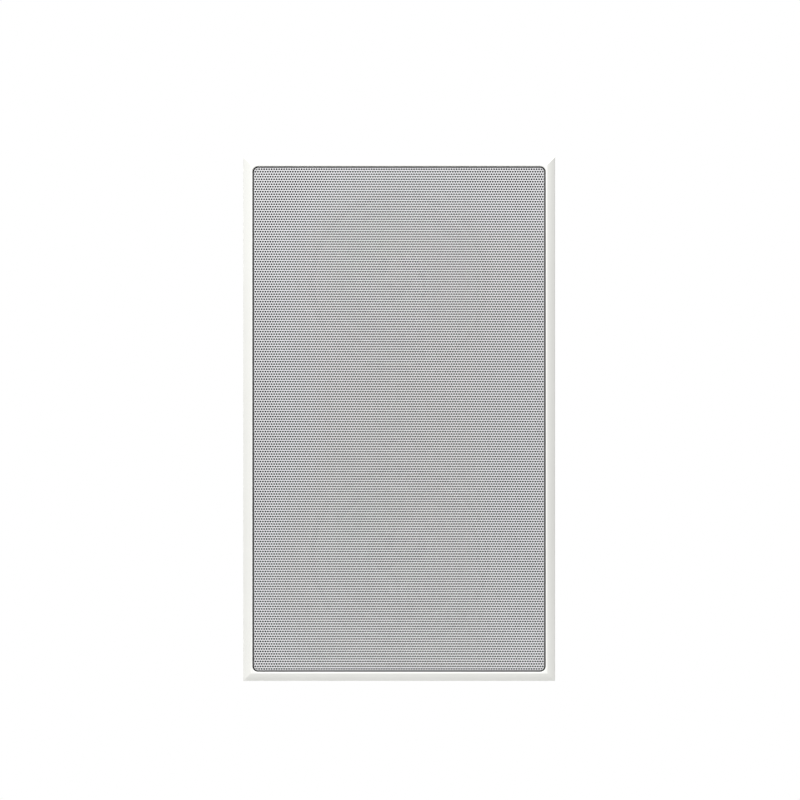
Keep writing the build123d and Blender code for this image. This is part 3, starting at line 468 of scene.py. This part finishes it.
def perforatedTree():
    tree, given = newTree("perforatedSheet", {
        "Hole Cell": "Object", "End Cell": "Object", "Columns": "Int", "Cut Rows": "Int", "Whole Rows": "Int",
        "Pitch": "Float", "Row Pitch": "Float", "Cut Middle": "Float", "Whole Middle": "Float",
        "Sheet": "Float", "Back": "Float", "Finish": "Material",
    })
    link = tree.links.new
    rowStep = mathNode(tree, "MULTIPLY", given["Row Pitch"], 2)
    joined = addNode(tree, "GeometryNodeJoinGeometry")

    def cells(cell, columns, columnStep, kind):
        rows = given[kind + " Rows"]
        grid = addNode(tree, "GeometryNodeMeshGrid")
        across = mathNode(tree, "MULTIPLY", mathNode(tree, "SUBTRACT", columns, 1), columnStep)
        upwards = mathNode(tree, "MULTIPLY", mathNode(tree, "SUBTRACT", rows, 1), rowStep)
        link(across, grid.inputs["Size X"])
        link(upwards, grid.inputs["Size Y"])
        if isinstance(columns, int):
            grid.inputs["Vertices X"].default_value = columns
        else:
            link(columns, grid.inputs["Vertices X"])
        link(rows, grid.inputs["Vertices Y"])
        lift = addNode(tree, "ShaderNodeCombineXYZ")
        link(given[kind + " Middle"], lift.inputs["Y"])
        moved = addNode(tree, "GeometryNodeSetPosition")
        link(grid.outputs["Mesh"], moved.inputs["Geometry"])
        link(lift.outputs[0], moved.inputs["Offset"])
        shape = addNode(tree, "GeometryNodeObjectInfo")
        link(cell, shape.inputs["Object"])
        placed = addNode(tree, "GeometryNodeInstanceOnPoints")
        link(moved.outputs[0], placed.inputs["Points"])
        link(shape.outputs["Geometry"], placed.inputs["Instance"])
        if columns == 2:  # the left end is the right end turned round
            spot = addNode(tree, "ShaderNodeSeparateXYZ")
            turn = addNode(tree, "ShaderNodeCombineXYZ")
            link(addNode(tree, "GeometryNodeInputPosition").outputs[0], spot.inputs[0])
            left = mathNode(tree, "LESS_THAN", spot.outputs["X"], 0)
            link(mathNode(tree, "MULTIPLY", left, math.pi), turn.inputs["Z"])
            link(turn.outputs[0], placed.inputs["Rotation"])
        link(placed.outputs[0], joined.inputs[0])

    endStep = mathNode(tree, "MULTIPLY", given["Pitch"], given["Columns"])
    cells(given["Hole Cell"], given["Columns"], given["Pitch"], "Whole")
    cells(given["Hole Cell"], mathNode(tree, "SUBTRACT", given["Columns"], 1), given["Pitch"], "Cut")
    cells(given["End Cell"], 2, endStep, "Cut")
    spread = addNode(tree, "GeometryNodeRealizeInstances")
    skin = addNode(tree, "GeometryNodeMergeByDistance", {"Distance": weld})
    thick = addNode(tree, "GeometryNodeExtrudeMesh", {"Individual": False})
    depth = addNode(tree, "ShaderNodeCombineXYZ")
    back = addNode(tree, "GeometryNodeFlipFaces")
    closed = addNode(tree, "GeometryNodeJoinGeometry")
    welded = addNode(tree, "GeometryNodeMergeByDistance", {"Distance": weld})
    upright = addNode(tree, "GeometryNodeTransform", {"Rotation": (math.pi / 2, 0, 0)})
    setback = addNode(tree, "ShaderNodeCombineXYZ")
    link(joined.outputs[0], spread.inputs[0])
    link(spread.outputs[0], skin.inputs["Geometry"])
    link(skin.outputs[0], thick.inputs["Mesh"])
    link(given["Sheet"], depth.inputs["Z"])
    link(depth.outputs[0], thick.inputs["Offset"])
    link(skin.outputs[0], back.inputs[0])
    link(thick.outputs["Mesh"], closed.inputs[0])
    link(back.outputs[0], closed.inputs[0])
    link(closed.outputs[0], welded.inputs["Geometry"])
    link(given["Back"], setback.inputs["Y"])
    link(setback.outputs[0], upright.inputs["Translation"])
    link(welded.outputs[0], upright.inputs["Geometry"])
    return endTree(tree, upright.outputs[0], given["Finish"])


def roundCorners(mesh):  # draws the square corners of the sheet in to the round of the fold
    reach = grille["corner"] - grille["bend"]
    still = grille["still"] * reach
    for vertex in mesh.vertices:
        x = abs(vertex.co.x) - grille["halfWidth"] + grille["corner"]
        z = abs(vertex.co.z) - grille["halfHeight"] + grille["corner"]
        radius = math.hypot(x, z)
        if min(x, z) > 0 and radius > still:
            border = reach * radius / max(x, z)
            drawn = still + (radius - still) * (reach - still) / (border - still)
            vertex.co.x -= math.copysign(x * (1 - drawn / radius), vertex.co.x)
            vertex.co.z -= math.copysign(z * (1 - drawn / radius), vertex.co.z)


def makeGrille():
    tree = perforatedTree()
    holeCell = templateObject("holeCell", ringCell())
    endCell = templateObject("endCell", halfCell())
    middleRow = (grille["rows"] - 1) / 2
    edges = [round(grille["rows"] * band / grille["bands"]) for band in range(grille["bands"] + 1)]
    for band in range(grille["bands"]):
        heights = {"Cut": [], "Whole": []}
        for row in range(edges[band], edges[band + 1]):
            heights["Whole" if row % 2 else "Cut"].append((row - middleRow) * grille["rowPitch"])
        values = {
            "Hole Cell": holeCell, "End Cell": endCell, "Columns": grille["columns"],
            "Pitch": grille["pitch"], "Row Pitch": grille["rowPitch"], "Sheet": grille["sheet"],
            "Back": grilleLow.y + grille["sheet"], "Finish": looks["whiteEnamel"],
        }
        for kind, rows in heights.items():
            values[kind + " Rows"] = len(rows)
            values[kind + " Middle"] = (rows[0] + rows[-1]) / 2
        piece = growPiece("grille_sheet_" + str(band + 1), tree, values)
        roundCorners(piece.data)
        ride(piece, "grille", "white_enamel", "grille")
        print("grille band", band + 1, "faces", len(piece.data.polygons))
    for template in (holeCell, endCell):
        bpy.data.objects.remove(template)


def cornerPath(inset):  # round the sheet, anticlockwise from the right
    radius = grille["corner"] - inset
    path = []
    for turn, (sideX, sideZ) in enumerate(((1, 1), (-1, 1), (-1, -1), (1, -1))):
        for step in range(grille["cornerSteps"] + 1):
            angle = (turn + step / grille["cornerSteps"]) * math.pi / 2
            path.append((sideX * (grille["halfWidth"] - grille["corner"]) + radius * math.cos(angle),
                         sideZ * (grille["halfHeight"] - grille["corner"]) + radius * math.sin(angle)))
    return path


def makeGrilleEdge():
    bend = grille["bend"]
    front = grilleLow.y
    back = front + grille["sheet"]
    section = []  # inset from the outside, and depth
    for step in range(grille["bendSteps"] + 1):
        angle = step / grille["bendSteps"] * math.pi / 2
        section.append((bend * (1 - math.sin(angle)), front + bend * (1 - math.cos(angle))))
    section += [(0, grilleHigh.y), (grille["fold"], grilleHigh.y), (grille["fold"], back), (bend, back)]
    points = []
    for inset, depth in section:
        points += [(x, depth, z) for x, z in cornerPath(inset)]
    count = len(points) // len(section)
    faces = []
    for ring in range(len(section)):
        after = (ring + 1) % len(section)
        for i in range(count):
            j = (i + 1) % count
            faces.append((ring * count + i, ring * count + j, after * count + j, after * count + i))
    edge = makePiece("grille_edge", points, faces, "whiteEnamel")
    ride(edge, "grille", "white_enamel", "grille")


makeGrille()
makeGrilleEdge()
print("grille made")


def turnedPiece(name, section, centres, steps, look):  # one closed section turned about each centre, along Y
    points = []
    faces = []
    count = len(section)
    for x, z in centres:
        first = len(points)
        for step in range(steps):
            angle = 2 * math.pi * step / steps
            here = first + step * count
            following = first + (step + 1) % steps * count
            for i, (radius, depth) in enumerate(section):
                j = (i + 1) % count
                points.append((x + radius * math.cos(angle), depth, z + radius * math.sin(angle)))
                faces.append((here + i, following + i, following + j, here + j))
    return makePiece(name, points, faces, look)


# Flexible rings: fixed to the chassis at one radius and carried by the moving part at another
def flexRing(name, section, height, steps, look, body, fixedRadius, movingRadius):
    piece = turnedPiece(name, section, [(0, height)], steps, look)
    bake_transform(piece, chassis, body, start=(0, 0, height), end=(0, 0.001, height))
    weights = piece.data.attributes["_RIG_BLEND"].data
    for vertex in piece.data.vertices:
        radius = math.hypot(vertex.co.x, vertex.co.z - height)
        share = min(1, max(0, (fixedRadius - radius) / (fixedRadius - movingRadius)))
        weights[vertex.index].value = share * share * (3 - 2 * share)
    return piece


def rollSection(shape):  # flat lip, half roll and flat lip, front and back
    front = []
    back = []
    for line, grow in ((front, shape["sheet"] / 2), (back, -shape["sheet"] / 2)):
        level = shape["level"] - grow
        line.append((shape["outer"], level))
        radius = shape["radius"] + grow
        for step in range(shape["steps"] + 1):
            angle = math.pi * step / shape["steps"]
            line.append((shape["middle"] + radius * math.cos(angle),
                         shape["level"] - radius * math.sin(angle)))
        line.append((shape["inner"], level))
    return front + back[::-1]


def rollEdges(shape):  # where the roll is held, and where it is carried along
    return shape["middle"] + shape["radius"], shape["middle"] - shape["radius"]


wooferRoll = {"outer": 0.0723, "inner": 0.05005, "middle": 0.06025, "radius": 0.0062, "sheet": 0.0007,
              "level": 0.00515, "steps": 22, "sides": 96}
tweeterRoll = {"outer": 0.0174, "inner": 0.01185, "middle": 0.01375, "radius": 0.001, "sheet": 0.0003,
               "level": 0.00715, "steps": 14, "sides": 64}
spiderWave = {"outer": 0.0462, "foot": 0.0408, "collar": 0.0211, "inner": 0.0196, "sheet": 0.0005,
              "front": 0.0325, "waves": 3, "rise": 0.0009, "steps": 60, "sides": 72}


def spiderSection():
    front = [(spiderWave["outer"], spiderWave["front"])]
    for step in range(spiderWave["steps"] + 1):
        share = step / spiderWave["steps"]
        radius = spiderWave["foot"] + (spiderWave["collar"] - spiderWave["foot"]) * share
        swing = spiderWave["rise"] * math.sin(2 * math.pi * spiderWave["waves"] * share)
        front.append((radius, spiderWave["front"] + swing))
    front.append((spiderWave["inner"], spiderWave["front"]))
    return front + [(radius, depth + spiderWave["sheet"]) for radius, depth in reversed(front)]


for level, height in (("upper", wooferHeight), ("lower", -wooferHeight)):
    roll = flexRing(level + "_surround", rollSection(wooferRoll), height, wooferRoll["sides"], "rubber",
                    level + "_cone", *rollEdges(wooferRoll))
    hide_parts(level + "_woofer_surround")
    cloth = flexRing(level + "_spider", spiderSection(), height, spiderWave["sides"], "spiderCloth",
                     level + "_cone", spiderWave["foot"], spiderWave["collar"])
    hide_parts(level + "_woofer_spider")
roll = flexRing("tweeter_roll", rollSection(tweeterRoll), 0, tweeterRoll["sides"], "rubber",
                "tweeter_dome", *rollEdges(tweeterRoll))
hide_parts("tweeter_surround")
print("flexible rings made")

# Clamp screws: black steel with a cut thread and a cross recess
clampScrew = {
    "head": ((0, 0.0064), (0.0022, 0.00648), (0.0032, 0.0068), (0.0038, 0.0074), (0.004, 0.0083),
             (0.004, 0.009)),  # radius and depth
    "sides": 32,
    "core": 0.0016,
    "outer": 0.002,
    "tipStart": 0.0506,
    "tip": 0.0518,
    "tipRadius": 0.0009,
    "threadStart": 0.0118,
    "pitch": 0.0016,
    "turns": 24.0,
    "recessWidth": 0.001,
    "recessLength": 0.0048,
    "recessDepth": 0.0016,
    "recessTaper": 0.55,  # length at the bottom of the recess, as a share
    "recessFloor": 0.7,  # least width there, as a share
    "recessLead": 0.001,  # how far its cutter starts in front of the head
}


def carve(piece, cutter):
    modifier = piece.modifiers.new("carve", "BOOLEAN")
    modifier.operation = "DIFFERENCE"
    modifier.solver = "EXACT"
    modifier.object = cutter
    carved = bpy.data.meshes.new_from_object(piece.evaluated_get(bpy.context.evaluated_depsgraph_get()))
    piece.modifiers.clear()
    piece.data = carved
    bpy.data.objects.remove(cutter)


def screwBody():
    core = clampScrew["core"]
    front = clampScrew["head"][0][1]
    neck = clampScrew["head"][-1][1]
    section = list(clampScrew["head"])
    section += [(core, neck), (core, clampScrew["tipStart"])]
    section += [(clampScrew["tipRadius"], clampScrew["tip"]), (0, clampScrew["tip"])]
    body = turnedPiece("screwBody", section, [(0, 0)], clampScrew["sides"], "blackScrew")
    narrow = clampScrew["recessWidth"] * clampScrew["recessFloor"]
    ends = ((front - clampScrew["recessLead"], 1.0),
            (front + clampScrew["recessDepth"], clampScrew["recessTaper"]))
    for long, wide in ((clampScrew["recessLength"], clampScrew["recessWidth"]),
                       (clampScrew["recessWidth"], clampScrew["recessLength"])):
        points = []
        for depth, share in ends:
            halfX = max(long * share, narrow) / 2
            halfZ = max(wide * share, narrow) / 2
            points += [(x * halfX, depth, z * halfZ) for x, z in ((1, 1), (-1, 1), (-1, -1), (1, -1))]
        faces = [(0, 1, 2, 3), (7, 6, 5, 4)] + [(i, 4 + i, 4 + (i + 1) % 4, (i + 1) % 4) for i in range(4)]
        carve(body, makePiece("recess", points, faces, "blackScrew"))
    finishMesh(body.data, "blackScrew")
    return body


def helixNodes(tree, turns, radius, pitch, profile):
    path = addNode(tree, "GeometryNodeCurveSpiral", {"Resolution": 24, "Reverse": True})  # right-handed
    level = addNode(tree, "GeometryNodeSetCurveNormal", mode="Z_UP")
    tube = addNode(tree, "GeometryNodeCurveToMesh", {"Fill Caps": True})
    tree.links.new(turns, path.inputs["Rotations"])
    tree.links.new(radius, path.inputs["Start Radius"])
    tree.links.new(radius, path.inputs["End Radius"])
    tree.links.new(mathNode(tree, "MULTIPLY", turns, pitch), path.inputs["Height"])
    tree.links.new(path.outputs[0], level.inputs["Curve"])
    tree.links.new(level.outputs[0], tube.inputs["Curve"])
    tree.links.new(profile, tube.inputs["Profile Curve"])
    return tube.outputs[0]


def placeNodes(tree, geometry, start, place):  # turns Z to Y, then moves to a start along Y and to a place
    offset = addNode(tree, "ShaderNodeCombineXYZ")
    along = addNode(tree, "GeometryNodeTransform", {"Rotation": (-math.pi / 2, 0, 0)})
    moved = addNode(tree, "GeometryNodeTransform")
    tree.links.new(start, offset.inputs["Y"])
    tree.links.new(offset.outputs[0], along.inputs["Translation"])
    tree.links.new(geometry, along.inputs["Geometry"])
    tree.links.new(along.outputs[0], moved.inputs["Geometry"])
    tree.links.new(place, moved.inputs["Translation"])
    return moved.outputs[0]


def threadTree():
    tree, given = newTree("threadedScrew", {
        "Body": "Object", "Place": "Vector", "Start": "Float", "Pitch": "Float", "Turns": "Float",
        "Radius": "Float", "Depth": "Float", "Finish": "Material",
    })
    ridge = addNode(tree, "GeometryNodeCurvePrimitiveCircle", {"Resolution": 4})
    tree.links.new(given["Depth"], ridge.inputs["Radius"])
    thread = helixNodes(tree, given["Turns"], given["Radius"], given["Pitch"], ridge.outputs["Curve"])
    body = addNode(tree, "GeometryNodeObjectInfo")
    moved = addNode(tree, "GeometryNodeTransform")
    joined = addNode(tree, "GeometryNodeJoinGeometry")
    tree.links.new(given["Body"], body.inputs["Object"])
    tree.links.new(body.outputs["Geometry"], moved.inputs["Geometry"])
    tree.links.new(given["Place"], moved.inputs["Translation"])
    tree.links.new(moved.outputs[0], joined.inputs[0])
    tree.links.new(placeNodes(tree, thread, given["Start"], given["Place"]), joined.inputs[0])
    return endTree(tree, joined.outputs[0], given["Finish"])


def makeClampScrews():
    tree = threadTree()
    body = screwBody()
    depth = clampScrew["outer"] - clampScrew["core"]
    for station in ("upper_right", "middle_right", "lower_right", "upper_left", "middle_left", "lower_left"):
        node = "clamp_screw_" + station
        low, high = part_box(node)
        screw = growPiece(station + "_screw", tree, {
            "Body": body, "Place": ((low.x + high.x) / 2, 0, (low.z + high.z) / 2),
            "Start": clampScrew["threadStart"], "Pitch": clampScrew["pitch"], "Turns": clampScrew["turns"],
            "Radius": clampScrew["core"], "Depth": depth, "Finish": looks["blackScrew"],
        })
        ride(screw, node, "black_screw", node)
    bpy.data.objects.remove(body)


# Crossover coils: enamelled wire wound between the cheeks of the bobbins
coils = {
    "large_coil": {"place": (-0.034, 0, 0.0), "start": 0.0371, "length": 0.015, "inner": 0.006,
                   "outer": 0.0155, "wire": 0.0012},
    "small_coil": {"place": (-0.004, 0, -0.012), "start": 0.0371, "length": 0.011, "inner": 0.006,
                   "outer": 0.0105, "wire": 0.001},
}
coilMake = {"standing": 0.6, "sides": 48, "sharp": 50.0}  # standing: share of the wire that stands clear


def coilTree():
    tree, given = newTree("woundCoil", {
        "Core": "Object", "Place": "Vector", "Start": "Float", "Turns": "Float", "Radius": "Float",
        "Pitch": "Float", "Wire": "Float", "Finish": "Material",
    })
    section = addNode(tree, "GeometryNodeCurvePrimitiveCircle", {"Resolution": 8})
    tree.links.new(given["Wire"], section.inputs["Radius"])
    turns = helixNodes(tree, given["Turns"], given["Radius"], given["Pitch"], section.outputs["Curve"])
    core = addNode(tree, "GeometryNodeObjectInfo")
    joined = addNode(tree, "GeometryNodeJoinGeometry")
    tree.links.new(given["Core"], core.inputs["Object"])
    tree.links.new(core.outputs["Geometry"], joined.inputs[0])
    tree.links.new(placeNodes(tree, turns, given["Start"], given["Place"]), joined.inputs[0])
    return endTree(tree, joined.outputs[0], given["Finish"])


def makeCoils():
    tree = coilTree()
    for name, plan in coils.items():
        turns = math.floor(plan["length"] / plan["wire"]) - 1
        end = plan["start"] + plan["length"]
        under = plan["outer"] - plan["wire"] * coilMake["standing"]
        section = [(plan["inner"], plan["start"]), (under, plan["start"]), (under, end), (plan["inner"], end)]
        middle = (plan["place"][0], plan["place"][2])
        core = turnedPiece("coilCore", section, [middle], coilMake["sides"], "copperWire")
        coil = growPiece(name, tree, {
            "Core": core, "Place": plan["place"], "Start": plan["start"] + plan["wire"] / 2,
            "Turns": float(turns), "Radius": plan["outer"] - plan["wire"] / 2,
            "Pitch": (plan["length"] - plan["wire"]) / turns, "Wire": plan["wire"] / 2,
            "Finish": looks["copperWire"],
        })
        bpy.data.objects.remove(core)
        coil.data.polygons.foreach_set("use_smooth", [True] * len(coil.data.polygons))
        coil.data.set_sharp_from_angle(angle=math.radians(coilMake["sharp"]))
        ride(coil, chassis, "copper_wire", "crossover_windings")


# Component leads: tinned wires bent down to the board
leads = {
    "wire": 0.0004,
    "reach": 0.0016,
    "root": 0.0005,  # how far a lead starts inside its component
    "knee": 0.3,  # place of the middle point of a bend, as a share
    "board": 0.0356,
    "sunk": 0.0004,  # how far a lead ends in the board
    "solder": ((0, 0.0356), (0.0013, 0.0356), (0.0011, 0.0359), (0.0006, 0.0364), (0.0005, 0.037),
               (0, 0.037)),  # radius and depth
    "solderSides": 14,
    "sharp": 60.0,
    "parts": ((-0.003, 0.0411, 0.014, 0.013), (0.027, 0.0411, -0.018, 0.013),  # middle and half length
              (-0.036, 0.0396, -0.023, 0.011), (-0.036, 0.0396, 0.023, 0.011)),
}


def makeLeads():
    curve = bpy.data.curves.new("leadPath", "CURVE")
    curve.dimensions = "3D"
    curve.bevel_depth = leads["wire"]
    curve.bevel_resolution = 1
    feet = []
    bend = leads["reach"] / 2
    knee = bend * leads["knee"]
    for x, y, z, half in leads["parts"]:
        for side in (1, -1):
            end = x + side * half
            far = end + side * leads["reach"]
            spots = [(end - side * leads["root"], y, z), (far - side * bend, y, z),
                     (far - side * knee, y - knee, z), (far, y - bend, z),
                     (far, leads["board"] - leads["sunk"], z)]
            feet.append((far, z))
            line = curve.splines.new("POLY")
            line.points.add(len(spots) - 1)
            for point, spot in zip(line.points, spots):
                point.co = (*spot, 1)
    path = bpy.data.objects.new("leadPath", curve)
    bpy.context.scene.collection.objects.link(path)
    mesh = bpy.data.meshes.new_from_object(path.evaluated_get(bpy.context.evaluated_depsgraph_get()))
    bpy.data.objects.remove(path)
    wires = bpy.data.objects.new("crossover_leads", mesh)
    bpy.context.scene.collection.objects.link(wires)
    finishMesh(mesh, "tinnedWire", leads["sharp"])
    ride(wires, chassis, "zinc_steel")
    solder = turnedPiece("crossover_solder", leads["solder"], feet, leads["solderSides"], "tinnedWire")
    ride(solder, chassis, "zinc_steel")


makeClampScrews()
makeCoils()
makeLeads()
print("screws, coils and leads made")

# Floor: pale, kept below the object, fading to white so that it has no edge
floorPlan = {"drop": 0.17, "radius": 0.55, "fadeFrom": 0.25, "sides": 96, "setBack": 0.04}


def makeFloor():
    spot = (0, floorPlan["setBack"], cadBox[0].z - floorPlan["drop"])
    bpy.ops.mesh.primitive_circle_add(vertices=floorPlan["sides"], radius=floorPlan["radius"],
                                      fill_type="NGON", location=spot)
    floor = bpy.context.object
    floor.name = "floor"
    material = bpy.data.materials.new("paleFloor")
    material.use_nodes = True
    tree = material.node_tree
    tree.nodes.clear()
    pale = addNode(tree, "ShaderNodeBsdfDiffuse", {"Color": (0.9, 0.9, 0.9, 1)})
    clear = addNode(tree, "ShaderNodeBsdfTransparent")
    mixed = addNode(tree, "ShaderNodeMixShader")
    out = addNode(tree, "ShaderNodeOutputMaterial")
    reach = addNode(tree, "ShaderNodeVectorMath", operation="LENGTH")
    tree.links.new(addNode(tree, "ShaderNodeTexCoord").outputs["Object"], reach.inputs[0])
    fade = addNode(tree, "ShaderNodeMapRange", interpolation_type="SMOOTHSTEP",
                   values={"From Min": floorPlan["fadeFrom"], "From Max": floorPlan["radius"]})
    tree.links.new(reach.outputs["Value"], fade.inputs["Value"])
    under = addNode(tree, "ShaderNodeNewGeometry").outputs["Backfacing"]
    tree.links.new(mathNode(tree, "MAXIMUM", fade.outputs["Result"], under), mixed.inputs[0])
    tree.links.new(pale.outputs[0], mixed.inputs[1])
    tree.links.new(clear.outputs[0], mixed.inputs[2])
    tree.links.new(mixed.outputs[0], out.inputs["Surface"])
    floor.data.materials.append(material)


# Studio: a white world to the camera, softer as light, with a key lamp at upper left
studio = {"fill": 0.36, "white": 1.0}
lamps = {
    "key": {"place": (-0.45, -1.5, 1.8), "aim": (0, 0, 0), "size": 1.1, "watts": 59.0},
    "rearKey": {"place": (0.9, 1.9, 1.2), "aim": (0, 0.03, 0), "size": 1.2, "watts": 27.0},
    "rearFill": {"place": (-1.2, 1.5, 0.1), "aim": (0, 0.03, 0), "size": 1.2, "watts": 9.0},
}


def makeWorld():
    world = bpy.data.worlds.new("studio")
    bpy.context.scene.world = world
    world.use_nodes = True
    tree = world.node_tree
    sky = tree.nodes["Background"]
    sky.inputs["Color"].default_value = (1, 1, 1, 1)
    path = addNode(tree, "ShaderNodeLightPath")
    seen = mathNode(tree, "MAXIMUM", path.outputs["Is Camera Ray"], path.outputs["Is Glossy Ray"])
    seen = mathNode(tree, "MAXIMUM", seen, path.outputs["Is Transmission Ray"])
    level = addNode(tree, "ShaderNodeMapRange", {"To Min": studio["fill"], "To Max": studio["white"]})
    tree.links.new(seen, level.inputs["Value"])
    tree.links.new(level.outputs["Result"], sky.inputs["Strength"])


def makeLamp(name, plan):
    lamp = bpy.data.lights.new(name, "AREA")
    lamp.shape = "DISK"
    lamp.size = plan["size"]
    lamp.energy = plan["watts"]
    holder = bpy.data.objects.new(name, lamp)
    holder.location = plan["place"]
    holder.rotation_euler = (Vector(plan["aim"]) - Vector(plan["place"])).to_track_quat("-Z", "Y").to_euler()
    bpy.context.scene.collection.objects.link(holder)


# Camera: square on to the front, placed so that the object's middle falls where it does in the picture
view = {"pictureWidth": 800, "middlePixel": (399.1, 419.1), "rimPixels": 312.2, "distance": 3.0,
        "sensor": 36.0}


def makeCamera():
    metresPerPixel = (cadBox[1].x - cadBox[0].x) / view["rimPixels"]
    offset = view["pictureWidth"] / 2
    camera = bpy.data.cameras.new("camera")
    camera.sensor_width = view["sensor"]
    camera.lens = view["sensor"] * view["distance"] / (view["pictureWidth"] * metresPerPixel)
    holder = bpy.data.objects.new("camera", camera)
    holder.location = (
        (offset - view["middlePixel"][0]) * metresPerPixel,
        cadBox[0].y - view["distance"],
        (view["middlePixel"][1] - offset) * metresPerPixel,
    )
    holder.rotation_euler = (math.pi / 2, 0, 0)
    bpy.context.scene.collection.objects.link(holder)
    bpy.context.scene.camera = holder


makeFloor()
makeWorld()
for name, plan in lamps.items():
    makeLamp(name, plan)
makeCamera()
bpy.context.scene.view_settings.view_transform = "Standard"
print("studio made")

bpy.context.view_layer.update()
added = [item for item in bpy.data.objects if item.type == "MESH" and item.name not in nodes]
print("triangles added:", sum(len(face.vertices) - 2 for item in added for face in item.data.polygons))
